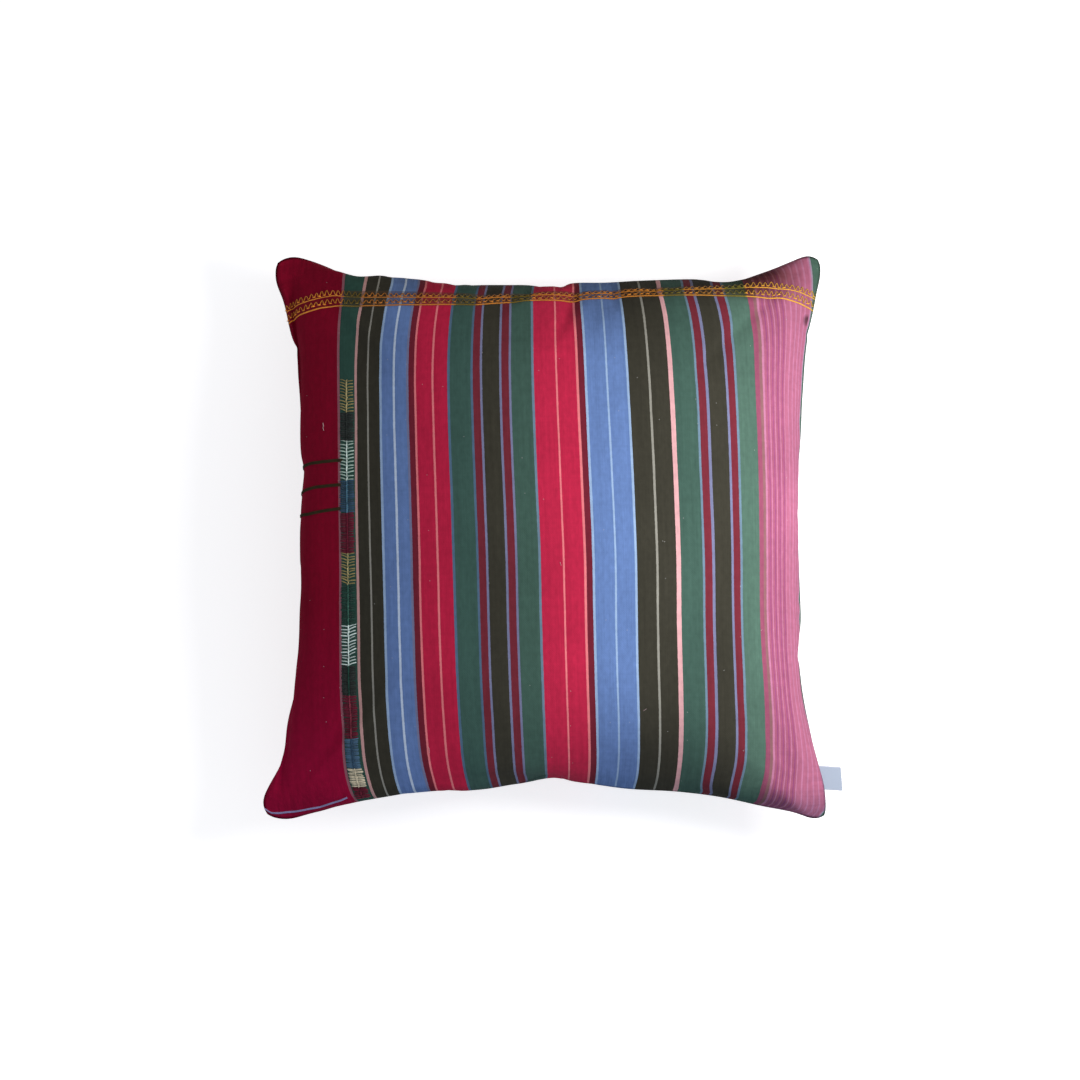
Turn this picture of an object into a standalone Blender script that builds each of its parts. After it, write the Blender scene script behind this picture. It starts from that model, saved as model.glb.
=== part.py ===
"""Square striped scatter cushion, lying on its back. Metres, +Z up, floor at Z = 0.

The cover is two square panels of hand-woven cloth, sewn together round the edge and
filled. The filling crowns both panels and draws the sides in between the corners.
A small folded ribbon label is caught in the right-hand seam, near its lower corner.
+Y runs up the stripes, and the origin is on the floor under the middle of the box.
"""

import math

import bpy
import numpy as np

MM = 0.001

# Size of the filled cover
HALF_ACROSS = 247 * MM
HALF_ALONG = 251 * MM
SEAM_HEIGHT = 76 * MM
FRONT_CROWN = 89 * MM
BACK_CROWN = 82 * MM
CELLS = 40

# Slope of the cloth: level in the middle of a panel, this steep at the seam
SEAM_SLOPE = math.radians(66)
SLOPE_POWER = 2.0
CROWDING_POWER = 0.6

# Seam line: how far each side is drawn in from the square through the corner tips.
# Columns: place along the side from its middle, drawn in, raised above SEAM_HEIGHT (mm).
LEFT_SEAM = (
    (-251, 3.0, -5), (-238, 0.0, -5), (-222, 6.5, -4), (-202, 16.0, -2), (-175, 20.5, 0),
    (-145, 26.5, 1), (-100, 31.5, 2), (-50, 32.0, 1), (0, 31.0, 0), (50, 31.5, -1),
    (90, 29.5, 0), (130, 27.0, 1), (160, 23.5, 1), (190, 17.5, 0), (215, 11.5, -1),
    (232, 5.0, -2), (251, 4.5, -3),
)
RIGHT_SEAM = (
    (-251, 4.0, 2), (-226, 5.0, 1), (-200, 11.0, 0), (-165, 18.0, -1), (-130, 22.5, -1),
    (-80, 23.0, 0), (-20, 24.5, 1), (30, 25.0, 1), (80, 22.5, 0), (120, 19.0, -1),
    (160, 15.0, -1), (190, 11.5, 0), (215, 6.5, 2), (238, 1.5, 3), (251, 2.0, 3),
)
LOWER_SEAM = (
    (-247, 4.0, -5), (-230, 1.0, -4), (-205, 6.5, -1), (-177, 12.0, 2), (-145, 19.0, 5),
    (-105, 24.5, 7), (-60, 26.0, 6), (-25, 31.0, 3), (3, 34.0, 0), (30, 32.5, -1),
    (70, 27.5, -2), (120, 24.5, -1), (155, 20.0, 0), (190, 12.5, 1), (220, 6.5, 2),
    (236, 1.5, 2), (247, 3.0, 2),
)
UPPER_SEAM = (
    (-247, 4.5, -3), (-232, 0.0, -3), (-215, 4.0, -2), (-195, 12.0, 0), (-176, 19.0, 1),
    (-140, 18.5, 2), (-100, 24.5, 1), (-50, 26.5, 0), (0, 25.5, -1), (35, 23.0, 0),
    (90, 22.5, 1), (140, 21.5, 1), (165, 22.0, 0), (185, 18.0, 1), (205, 12.0, 2),
    (222, 5.5, 3), (236, 0.5, 3), (247, 3.0, 3),
)

# Tucks: short furrows that start at a nick in the seam and die out in the panel.
# Columns: side, place along it, extra draw-in, half width, reach, furrow depth (mm).
TUCKS = (
    ("left", 164, 2.5, 11, 46, 2.5),
    ("left", 53, 3.0, 13, 60, 3.0),
    ("left", -46, 1.5, 15, 40, 1.5),
    ("right", -102, 2.0, 14, 55, 3.0),
    ("right", 120, 0.5, 16, 60, 1.5),
    ("lower", 4, 3.0, 13, 55, 3.5),
    ("lower", -172, 1.0, 14, 50, 2.0),
    ("upper", -172, 3.0, 13, 70, 3.5),
    ("upper", 3, 3.0, 13, 60, 3.5),
    ("upper", 160, 3.0, 12, 70, 3.5),
)

# Slow waves that the gathered cloth keeps beside the seam
WAVE_PITCH = 70 * MM
WAVE_DEPTH = 1.0 * MM
WAVE_REACH = 26 * MM

# Ribbon label, folded double and caught in the right-hand seam
LABEL_MIDDLE = -213 * MM
LABEL_WIDTH = 21 * MM
LABEL_REACH = 16.5 * MM
LABEL_THICKNESS = 1.0 * MM
LABEL_GAP = 0.4 * MM
LABEL_DROOP = 1.5 * MM
LABEL_TILT = math.radians(3.5)
LABEL_CELLS = 6

CLOTH_COLOUR = (0.23, 0.07, 0.08, 1.0)
LABEL_COLOUR = (0.68, 0.74, 0.92, 1.0)


def clear_scene():
    for old in list(bpy.data.objects):
        bpy.data.objects.remove(old, do_unlink=True)


def cloth_curves():
    """Run and height of a panel's cloth, for steps from its middle to the seam."""
    steps = np.linspace(0.0, 1.0, 201)
    slope = SEAM_SLOPE * ((steps[1:] + steps[:-1]) / 2) ** SLOPE_POWER
    run = np.concatenate(([0.0], np.cumsum(np.cos(slope))))
    fall = np.concatenate(([0.0], np.cumsum(np.sin(slope))))
    return steps, run / run[-1], 1 - fall / fall[-1]


STEPS, RUN, HEIGHT = cloth_curves()


def height_at(share):
    return np.interp(np.abs(share), STEPS, HEIGHT)


def crown_at(across, along):
    """Share of the full crown: both cloth curves at once, still full near the corners."""
    over_x = height_at(across)
    over_y = height_at(along)
    return over_x * over_y / (over_x + over_y - over_x * over_y + 1e-9)


def run_at(share, crowding):
    """Where the cloth at this share of its half width lies, crowded towards the seam."""
    bent = np.sign(share) * np.interp(np.abs(share), STEPS, RUN)
    return share + (bent - share) * crowding


def smooth_through(rows, column, places):
    """A smooth curve through one column of a seam table, by cubic pieces."""
    table = np.array(rows, dtype=float) * MM
    at, value = table[:, 0], table[:, column]
    pull = np.gradient(value, at)
    left = np.clip(np.searchsorted(at, places) - 1, 0, len(at) - 2)
    width = at[left + 1] - at[left]
    part = np.clip((places - at[left]) / width, 0.0, 1.0)
    ease = part * part * (3 - 2 * part)
    start = part * (1 - part) ** 2 * width * pull[left]
    end = part * part * (part - 1) * width * pull[left + 1]
    return value[left] * (1 - ease) + value[left + 1] * ease + start + end


def panel_grid():
    """Shares across and along the panel, -1 to 1, for each grid point."""
    shares = np.linspace(-1.0, 1.0, CELLS + 1)
    return np.meshgrid(shares, shares, indexing="ij")


def from_side(side, across, along):
    """Distance in from one side and place along it, in the flat cloth."""
    return {
        "left": ((1 + across) * HALF_ACROSS, along * HALF_ALONG),
        "right": ((1 - across) * HALF_ACROSS, along * HALF_ALONG),
        "lower": ((1 + along) * HALF_ALONG, across * HALF_ACROSS),
        "upper": ((1 - along) * HALF_ALONG, across * HALF_ACROSS),
    }[side]


def plan_of(across, along):
    """X and Y of the cloth seen from above, with the seam drawn in all round."""
    left = -HALF_ACROSS + smooth_through(LEFT_SEAM, 1, along * HALF_ALONG)
    right = HALF_ACROSS - smooth_through(RIGHT_SEAM, 1, along * HALF_ALONG)
    lower = -HALF_ALONG + smooth_through(LOWER_SEAM, 1, across * HALF_ACROSS)
    upper = HALF_ALONG - smooth_through(UPPER_SEAM, 1, across * HALF_ACROSS)
    x_share = run_at(across, height_at(along) ** CROWDING_POWER)
    y_share = run_at(along, height_at(across) ** CROWDING_POWER)
    x = left + (right - left) * (1 + x_share) / 2
    y = lower + (upper - lower) * (1 + y_share) / 2
    inward = {"left": (1, 0), "right": (-1, 0), "lower": (0, 1), "upper": (0, -1)}
    for side, place, draw_in, half_width, reach, _ in TUCKS:
        distance, beside = from_side(side, across, along)
        nick = draw_in * MM * np.exp(-(((beside - place * MM) / (half_width * MM)) ** 2))
        nick = nick * np.exp(-distance / (reach * MM / 3))
        x = x + inward[side][0] * nick
        y = y + inward[side][1] * nick
    return x, y


def seam_level(across, along):
    """Height of the seam plane under each grid point, bent to meet the four sides."""
    left = smooth_through(LEFT_SEAM, 2, along * HALF_ALONG)
    right = smooth_through(RIGHT_SEAM, 2, along * HALF_ALONG)
    lower = smooth_through(LOWER_SEAM, 2, across * HALF_ACROSS)
    upper = smooth_through(UPPER_SEAM, 2, across * HALF_ACROSS)
    over_x = left + (right - left) * (1 + across) / 2
    over_y = lower + (upper - lower) * (1 + along) / 2
    near_x = (1 - across**2) + 1e-6
    near_y = (1 - along**2) + 1e-6
    return SEAM_HEIGHT + (over_x * near_y + over_y * near_x) / (near_x + near_y)


def furrows(across, along):
    """How far the tucks and the slow waves beside the seam push the cloth in."""
    total = np.zeros_like(across)
    for side, place, _, half_width, reach, depth in TUCKS:
        distance, beside = from_side(side, across, along)
        shape = np.exp(-(((beside - place * MM) / (half_width * MM)) ** 2))
        peak = reach * MM / 3
        total += depth * MM * shape * (distance / peak) * np.exp(1 - distance / peak)
    for turn, side in enumerate(("left", "right", "lower", "upper")):
        distance, beside = from_side(side, across, along)
        peak = WAVE_REACH / 2
        wave = np.sin(beside / WAVE_PITCH * math.tau + turn) * np.cos(beside / WAVE_PITCH * 2.3 + turn)
        total += WAVE_DEPTH * wave * (distance / peak) * np.exp(1 - distance / peak)
    return total


def cushion_points():
    """Grid points of the upper and the lower panel, which share the seam."""
    across, along = panel_grid()
    x, y = plan_of(across, along)
    level = seam_level(across, along)
    crown = crown_at(across, along)
    dents = np.minimum(furrows(across, along), 0.5 * FRONT_CROWN * crown)
    upper = level + FRONT_CROWN * crown - dents
    lower = level - BACK_CROWN * crown + 0.7 * dents
    return x, y, upper, np.maximum(lower, 0.0)


def add_solid(name, points, faces, colour, roughness):
    mesh = bpy.data.meshes.new(name)
    mesh.from_pydata(points, [], faces)
    mesh.shade_smooth()
    material = bpy.data.materials.new(name + "_cloth")
    material.use_nodes = True
    shader = material.node_tree.nodes["Principled BSDF"]
    shader.inputs["Base Color"].default_value = colour
    shader.inputs["Roughness"].default_value = roughness
    shader.inputs["Metallic"].default_value = 0.0
    mesh.materials.append(material)
    solid = bpy.data.objects.new(name, mesh)
    bpy.context.scene.collection.objects.link(solid)
    return solid


def add_cushion():
    """One filled solid: two grids of points, joined along the seam."""
    x, y, upper, lower = cushion_points()
    side = CELLS + 1
    points = []
    front = np.zeros((side, side), dtype=int)
    back = np.zeros((side, side), dtype=int)
    for i in range(side):
        for j in range(side):
            front[i, j] = len(points)
            points.append((x[i, j], y[i, j], upper[i, j]))
    for i in range(side):
        for j in range(side):
            on_seam = i in (0, CELLS) or j in (0, CELLS)
            if on_seam:
                back[i, j] = front[i, j]
                continue
            back[i, j] = len(points)
            points.append((x[i, j], y[i, j], lower[i, j]))
    faces = []
    for i in range(CELLS):
        for j in range(CELLS):
            corners = ((i, j), (i + 1, j), (i + 1, j + 1), (i, j + 1))
            faces.append([int(front[c]) for c in corners])
            faces.append([int(back[c]) for c in reversed(corners)])
    return add_solid("cushion", points, faces, CLOTH_COLOUR, 0.85)


def right_seam_point(place):
    """X and Z of the right-hand seam at this Y, between the cushion's own seam points."""
    along = np.linspace(-1.0, 1.0, CELLS + 1)
    across = np.ones(CELLS + 1)
    x, y = plan_of(across, along)
    level = seam_level(across, along)
    return float(np.interp(place, y, x)), float(np.interp(place, y, level))


def add_label():
    """Folded ribbon standing out of the seam, its inner edge cut to follow the seam."""
    root_x, root_height = right_seam_point(LABEL_MIDDLE)
    outer_x = root_x + LABEL_GAP + LABEL_REACH
    points = []
    for top in (0, 1):
        for i in range(LABEL_CELLS + 1):
            reach = i / LABEL_CELLS
            for j in range(LABEL_CELLS + 1):
                offset = (j / LABEL_CELLS - 0.5) * LABEL_WIDTH
                inner_y = LABEL_MIDDLE + offset
                inner_x = right_seam_point(inner_y)[0] + LABEL_GAP
                outer_edge = outer_x - offset * math.tan(LABEL_TILT)
                x = inner_x + (outer_edge - inner_x) * reach
                y = inner_y - reach * LABEL_REACH * math.tan(LABEL_TILT)
                middle = root_height - LABEL_DROOP * reach**2
                points.append((x, y, middle + (top - 0.5) * LABEL_THICKNESS))
    side = LABEL_CELLS + 1

    def index(top, i, j):
        return top * side * side + i * side + j

    faces = []
    for i in range(LABEL_CELLS):
        for j in range(LABEL_CELLS):
            corners = ((i, j), (i + 1, j), (i + 1, j + 1), (i, j + 1))
            faces.append([index(1, *c) for c in corners])
            faces.append([index(0, *c) for c in reversed(corners)])
    rim = [(i, 0) for i in range(LABEL_CELLS)]
    rim += [(LABEL_CELLS, j) for j in range(LABEL_CELLS)]
    rim += [(i, LABEL_CELLS) for i in range(LABEL_CELLS, 0, -1)]
    rim += [(0, j) for j in range(LABEL_CELLS, 0, -1)]
    for here, after in zip(rim, rim[1:] + rim[:1]):
        faces.append([index(0, *here), index(0, *after), index(1, *after), index(1, *here)])
    return add_solid("side_label", points, faces, LABEL_COLOUR, 0.6)


def centre_on_floor(solids):
    """Moves the meshes so that the middle of their box is over the origin."""
    places = np.array([tuple(v.co) for solid in solids for v in solid.data.vertices])
    middle = (places.min(axis=0) + places.max(axis=0)) / 2
    for solid in solids:
        for vertex in solid.data.vertices:
            vertex.co.x -= middle[0]
            vertex.co.y -= middle[1]


clear_scene()
centre_on_floor([add_cushion(), add_label()])
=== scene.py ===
import math

import bpy
import numpy as np
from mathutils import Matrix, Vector


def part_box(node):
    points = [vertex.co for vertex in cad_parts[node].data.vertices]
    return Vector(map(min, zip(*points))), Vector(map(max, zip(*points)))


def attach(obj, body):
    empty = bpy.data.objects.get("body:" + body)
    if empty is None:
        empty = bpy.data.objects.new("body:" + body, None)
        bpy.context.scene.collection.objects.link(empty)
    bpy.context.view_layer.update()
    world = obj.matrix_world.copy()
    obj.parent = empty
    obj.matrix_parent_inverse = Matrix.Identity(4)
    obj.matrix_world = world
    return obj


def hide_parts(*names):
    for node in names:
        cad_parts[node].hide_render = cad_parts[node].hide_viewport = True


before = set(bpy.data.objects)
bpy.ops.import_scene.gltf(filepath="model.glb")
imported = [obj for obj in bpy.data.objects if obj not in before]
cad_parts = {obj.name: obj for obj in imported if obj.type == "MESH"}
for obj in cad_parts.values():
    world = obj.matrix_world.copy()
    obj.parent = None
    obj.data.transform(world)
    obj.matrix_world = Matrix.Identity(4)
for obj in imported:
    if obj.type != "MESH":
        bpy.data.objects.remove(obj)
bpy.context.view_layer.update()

# Filled cover. Two square panels of hand-woven cotton, sewn together round the edge,
# turned and filled. The filling crowns both panels and draws the sides in between the
# corners, so the seam wanders as these tables say.
MM = 0.001
CUT = 500 * MM
HALF_ACROSS = 247 * MM
HALF_ALONG = 251 * MM
SEAM_HEIGHT = 76 * MM
FRONT_CROWN = 89 * MM
BACK_CROWN = 82 * MM
SEAM_SLOPE = math.radians(66)
SLOPE_POWER = 2.0
CROWDING_POWER = 0.6
PANEL_CELLS = 84

# Columns: place along the side from its middle, drawn in, raised above SEAM_HEIGHT (mm).
LEFT_SEAM = (
    (-251, 3.0, -5), (-238, 0.0, -5), (-222, 6.5, -4), (-202, 16.0, -2), (-175, 20.5, 0),
    (-145, 26.5, 1), (-100, 31.5, 2), (-50, 32.0, 1), (0, 31.0, 0), (50, 31.5, -1),
    (90, 29.5, 0), (130, 27.0, 1), (160, 23.5, 1), (190, 17.5, 0), (215, 11.5, -1),
    (232, 5.0, -2), (251, 4.5, -3),
)
RIGHT_SEAM = (
    (-251, 4.0, 2), (-226, 5.0, 1), (-200, 11.0, 0), (-165, 18.0, -1), (-130, 22.5, -1),
    (-80, 23.0, 0), (-20, 24.5, 1), (30, 25.0, 1), (80, 22.5, 0), (120, 19.0, -1),
    (160, 15.0, -1), (190, 11.5, 0), (215, 6.5, 2), (238, 1.5, 3), (251, 2.0, 3),
)
LOWER_SEAM = (
    (-247, 4.0, -5), (-230, 1.0, -4), (-205, 6.5, -1), (-177, 12.0, 2), (-145, 19.0, 5),
    (-105, 24.5, 7), (-60, 26.0, 6), (-25, 31.0, 3), (3, 34.0, 0), (30, 32.5, -1),
    (70, 27.5, -2), (120, 24.5, -1), (155, 20.0, 0), (190, 12.5, 1), (220, 6.5, 2),
    (236, 1.5, 2), (247, 3.0, 2),
)
UPPER_SEAM = (
    (-247, 4.5, -3), (-232, 0.0, -3), (-215, 4.0, -2), (-195, 12.0, 0), (-176, 19.0, 1),
    (-140, 18.5, 2), (-100, 24.5, 1), (-50, 26.5, 0), (0, 25.5, -1), (35, 23.0, 0),
    (90, 22.5, 1), (140, 21.5, 1), (165, 22.0, 0), (185, 18.0, 1), (205, 12.0, 2),
    (222, 5.5, 3), (236, 0.5, 3), (247, 3.0, 3),
)

# Tucks: broad nicks in the seam that die out in the panel.
# Columns: side, place along it, extra draw-in, half width, reach (mm).
TUCKS = (
    ("left", 164, 2.5, 11, 46), ("left", 53, 3.0, 13, 60), ("left", -46, 1.5, 15, 40),
    ("right", -102, 2.0, 14, 55), ("right", 120, 0.5, 16, 60), ("lower", 4, 3.0, 13, 55),
    ("lower", -172, 1.0, 14, 50), ("upper", -172, 3.0, 13, 70), ("upper", 3, 3.0, 13, 60),
    ("upper", 160, 3.0, 12, 70),
)
CURVE_STEPS = 201


def cloth_curves():
    """Run and height of a panel's cloth, for steps from its middle to the seam."""
    steps = np.linspace(0.0, 1.0, CURVE_STEPS)
    slope = SEAM_SLOPE * ((steps[1:] + steps[:-1]) / 2) ** SLOPE_POWER
    run = np.concatenate(([0.0], np.cumsum(np.cos(slope))))
    fall = np.concatenate(([0.0], np.cumsum(np.sin(slope))))
    return steps, run / run[-1], 1 - fall / fall[-1]


STEPS, RUN, HEIGHT = cloth_curves()


def height_at(share):
    return np.interp(np.abs(share), STEPS, HEIGHT)


def run_at(share, crowding):
    """Where the cloth at this share of its half width lies, crowded towards the seam."""
    bent = np.sign(share) * np.interp(np.abs(share), STEPS, RUN)
    return share + (bent - share) * crowding


def smooth_through(rows, column, places):
    """A smooth curve through one column of a seam table, by cubic pieces."""
    table = np.array(rows, dtype=float) * MM
    at, value = table[:, 0], table[:, column]
    pull = np.gradient(value, at)
    left = np.clip(np.searchsorted(at, places) - 1, 0, len(at) - 2)
    width = at[left + 1] - at[left]
    part = np.clip((places - at[left]) / width, 0.0, 1.0)
    ease = part * part * (3 - 2 * part)
    start = part * (1 - part) ** 2 * width * pull[left]
    end = part * part * (part - 1) * width * pull[left + 1]
    return value[left] * (1 - ease) + value[left + 1] * ease + start + end


def from_side(side, across, along):
    """Distance in from one side and place along it, in the flat cloth."""
    return {
        "left": ((1 + across) * HALF_ACROSS, along * HALF_ALONG),
        "right": ((1 - across) * HALF_ACROSS, along * HALF_ALONG),
        "lower": ((1 + along) * HALF_ALONG, across * HALF_ACROSS),
        "upper": ((1 - along) * HALF_ALONG, across * HALF_ACROSS),
    }[side]


def four_sides(column, across, along):
    """One column of the seam tables beside each point: left, right, lower and upper."""
    up, over = along * HALF_ALONG, across * HALF_ACROSS
    tables = ((LEFT_SEAM, up), (RIGHT_SEAM, up), (LOWER_SEAM, over), (UPPER_SEAM, over))
    return [smooth_through(table, column, place) for table, place in tables]


def plan_of(across, along):
    """X and Y of the cloth seen from above, with the seam drawn in all round."""
    left, right, lower, upper = four_sides(1, across, along)
    left, right = left - HALF_ACROSS, HALF_ACROSS - right
    lower, upper = lower - HALF_ALONG, HALF_ALONG - upper
    x_share = run_at(across, height_at(along) ** CROWDING_POWER)
    y_share = run_at(along, height_at(across) ** CROWDING_POWER)
    x = left + (right - left) * (1 + x_share) / 2
    y = lower + (upper - lower) * (1 + y_share) / 2
    inward = {"left": (1, 0), "right": (-1, 0), "lower": (0, 1), "upper": (0, -1)}
    for side, place, draw_in, half_width, reach in TUCKS:
        distance, beside = from_side(side, across, along)
        nick = draw_in * MM * np.exp(-(((beside - place * MM) / (half_width * MM)) ** 2))
        nick = nick * np.exp(-distance / (reach * MM / 3))
        x = x + inward[side][0] * nick
        y = y + inward[side][1] * nick
    return x, y


def seam_level(across, along):
    """Height of the seam plane under each point, bent to meet the four sides."""
    left, right, lower, upper = four_sides(2, across, along)
    over_x = left + (right - left) * (1 + across) / 2
    over_y = lower + (upper - lower) * (1 + along) / 2
    near_x = (1 - across**2) + 1e-6
    near_y = (1 - along**2) + 1e-6
    return SEAM_HEIGHT + (over_x * near_y + over_y * near_x) / (near_x + near_y)


shares = np.linspace(-1.0, 1.0, PANEL_CELLS + 1)
across, along = np.meshgrid(shares, shares, indexing="ij")
rim = (np.abs(across) == 1) | (np.abs(along) == 1)
cut_across, cut_along = (across + 1) / 2 * CUT, (along + 1) / 2 * CUT
plan_x, plan_y = plan_of(across, along)
seam_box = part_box("cushion")
plan_x += seam_box[0][0] - plan_x.min()
plan_y += seam_box[0][1] - plan_y.min()
over_x, over_y = height_at(across), height_at(along)
crown = over_x * over_y / (over_x + over_y - over_x * over_y + 1e-9)
level = seam_level(across, along)
front = np.stack([plan_x, plan_y, level + FRONT_CROWN * crown], -1)
back = np.stack([plan_x, plan_y, level - BACK_CROWN * crown], -1)


def added(name, data):
    """A new object in the scene."""
    piece = bpy.data.objects.new(name, data)
    bpy.context.scene.collection.objects.link(piece)
    return piece


def mesh_of(name, points, faces, edges=()):
    mesh = bpy.data.meshes.new(name)
    mesh.from_pydata(points, edges, faces)
    return mesh


def vectors_of(mesh, name):
    """The positions, or another stored vector of each vertex, as rows of three."""
    values = np.empty(len(mesh.vertices) * 3, dtype=np.float32)
    mesh.attributes[name].data.foreach_get("vector", values)
    return values.reshape(-1, 3).astype(float)


def move_to(mesh, points):
    """Puts each vertex at its row of points."""
    mesh.vertices.foreach_set("co", points.astype(np.float32).ravel())
    mesh.update()


def cover_faces(side):
    """Numbers of the back's points, and the quads of a front and a back that share a rim."""
    last = side - 1
    upper = np.arange(side * side).reshape(side, side)
    lower = upper.copy()
    lower[1:last, 1:last] = side * side + np.arange((side - 2) ** 2).reshape(side - 2, side - 2)
    quads = []
    for number, way in ((upper, 1), (lower, -1)):
        corners = (number[:-1, :-1], number[1:, :-1], number[1:, 1:], number[:-1, 1:])
        quads.append(np.stack(corners[::way], -1).reshape(-1, 4))
    return lower, np.concatenate(quads)


def cover_points(front, back):
    """The points in the order that cover_faces numbers them."""
    return np.concatenate([front.reshape(-1, 3), back[1:-1, 1:-1].reshape(-1, 3)])


# Filling: the two flat panels are blown up while their seam is drawn in to its final
# line, so the surplus cloth beside it gathers into the small folds of a real cover.
FILLING_FRAMES = 26
SEAM_DRAWN_BY = 16
FILLING_CLOTH = {
    "mass": 0.3, "tension_stiffness": 80, "compression_stiffness": 40, "shear_stiffness": 10,
    "bending_stiffness": 2.0, "use_pressure": True, "uniform_pressure_force": 100,
    "vertex_group_mass": "seam",
}
PANEL_GAP = 4 * MM
CREASE_SEED = 5
GATHERS_A_SIDE = 12
GATHER_PITCHES = (18, 46)
GATHER_REACH = 0.03
GATHER_DEPTH = 0.25 * MM
FRONT_FULLNESS = 1.20
BACK_FULLNESS = 1.14
BULGE_REACH = 40 * MM
BULGE_SMOOTHINGS = 3
# Places where the front lies smoother: across and up the cut, half width (mm).
SMOOTHED_PLACES = ((315, 48, 42), (350, 34, 40))
SMOOTHED_SHARE = 0.8
SMOOTHINGS = 60


def gathers(seed):
    """Slight seeded waves beside the seam, which decide where the surplus cloth folds."""
    random = np.random.default_rng(seed)
    total = np.zeros_like(across)
    for side in ("left", "right", "lower", "upper"):
        distance, beside = from_side(side, across, along)
        for _ in range(GATHERS_A_SIDE):
            pitch = random.uniform(*GATHER_PITCHES) * MM
            wave = np.sin(beside / pitch * math.tau + random.uniform(0, math.tau))
            total += wave * np.exp(-distance / GATHER_REACH)
    return GATHER_DEPTH * total


def held_to_outline(panels):
    """Draws both panels in, so that their bulge and not the seam within it is the outline."""
    for axis in (0, 1):
        for end, inward in ((0, 1), (-1, -1)):
            rim_line = panels[0][end] if axis == 0 else panels[0][:, end]
            rim_along, rim_at = rim_line[:, 1 - axis].copy(), rim_line[:, axis].copy()
            depths = [
                inward * (panel[..., axis] - np.interp(panel[..., 1 - axis], rim_along, rim_at))
                for panel in panels
            ]
            proud = np.maximum(0, -np.min([depth.min(axis=axis) for depth in depths], axis=0))
            for _ in range(BULGE_SMOOTHINGS):
                padded = np.pad(proud, 1, mode="edge")
                proud = (padded[:-2] + 2 * proud + padded[2:]) / 4
            for panel, depth in zip(panels, depths):
                over = np.interp(panel[..., 1 - axis], rim_along, proud)
                share = np.clip((BULGE_REACH - depth) / (BULGE_REACH + over), 0, 1)
                panel[..., axis] += inward * over * share**2


def filled(front, back):
    """Front and back grids after two flat panels are blown up inside the drawn-in seam."""
    side = len(front)
    lower, quads = cover_faces(side)
    apart = np.sqrt(np.clip(np.cos(across * math.pi / 2) * np.cos(along * math.pi / 2), 0, 1))
    flat = []
    for way, seed in ((1, CREASE_SEED), (-1, CREASE_SEED + 1)):
        height = SEAM_HEIGHT + way * apart * (PANEL_GAP + gathers(seed))
        flat.append(np.stack([across * CUT / 2, along * CUT / 2, height], -1))
    started = cover_points(*flat)
    cover = added("cover_to_fill", mesh_of("cover_to_fill", started.tolist(), quads.tolist()))
    cover.shape_key_add(name="Basis")
    drawn_in = cover.shape_key_add(name="drawn in")
    drawn_in.data.foreach_set("co", cover_points(front, back).astype(np.float32).ravel())
    for drawn_share, frame_number in ((0.0, 1), (1.0, SEAM_DRAWN_BY)):
        drawn_in.value = drawn_share
        drawn_in.keyframe_insert("value", frame=frame_number)
    held = cover.vertex_groups.new(name="seam")
    held.add(np.flatnonzero(rim.ravel()).tolist(), 1.0, "REPLACE")
    cloth = cover.modifiers.new("filling", "CLOTH")
    for name, value in FILLING_CLOTH.items():
        setattr(cloth.settings, name, value)
    cloth.settings.effector_weights.gravity = 0
    cloth.collision_settings.use_collision = False
    cloth.point_cache.frame_start = 1
    cloth.point_cache.frame_end = FILLING_FRAMES
    for step in range(1, FILLING_FRAMES + 1):
        bpy.context.scene.frame_set(step)
    ended = cover.evaluated_get(bpy.context.evaluated_depsgraph_get())
    points = vectors_of(ended.data, "position")
    bpy.context.scene.frame_set(1)
    bpy.data.objects.remove(cover, do_unlink=True)
    front, back = points[: side * side].reshape(side, side, 3), points[lower]
    front[..., 2] = level + (front[..., 2] - level) * FRONT_FULLNESS
    back[..., 2] = level + (back[..., 2] - level) * BACK_FULLNESS
    held_to_outline((front, back))
    for place_across, place_up, half_width in SMOOTHED_PLACES:
        off = (cut_across - place_across * MM) ** 2 + (cut_along - place_up * MM) ** 2
        share = SMOOTHED_SHARE * np.exp(-off / (half_width * MM) ** 2)
        share = share[1:-1, 1:-1, None]
        for _ in range(SMOOTHINGS):
            beside = front[2:, 1:-1] + front[:-2, 1:-1] + front[1:-1, 2:] + front[1:-1, :-2]
            front[1:-1, 1:-1] += (beside / 4 - front[1:-1, 1:-1]) * share
    return front, back


def blunted(panel):
    """Rounds the tips of the four corners, as sewing across them does."""
    for i, di in ((0, 1), (-1, -1)):
        for j, dj in ((0, 1), (-1, -1)):
            tip, one, other = (panel[at].copy() for at in ((i, j), (i + di, j), (i, j + dj)))
            panel[i, j] = 0.4 * tip + 0.3 * (one + other)
            panel[i + di, j] = 0.84 * one + 0.08 * (tip + panel[i + 2 * di, j])
            panel[i, j + dj] = 0.84 * other + 0.08 * (tip + panel[i, j + 2 * dj])


front, back = filled(front, back)
blunted(front)
blunted(back)


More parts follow.
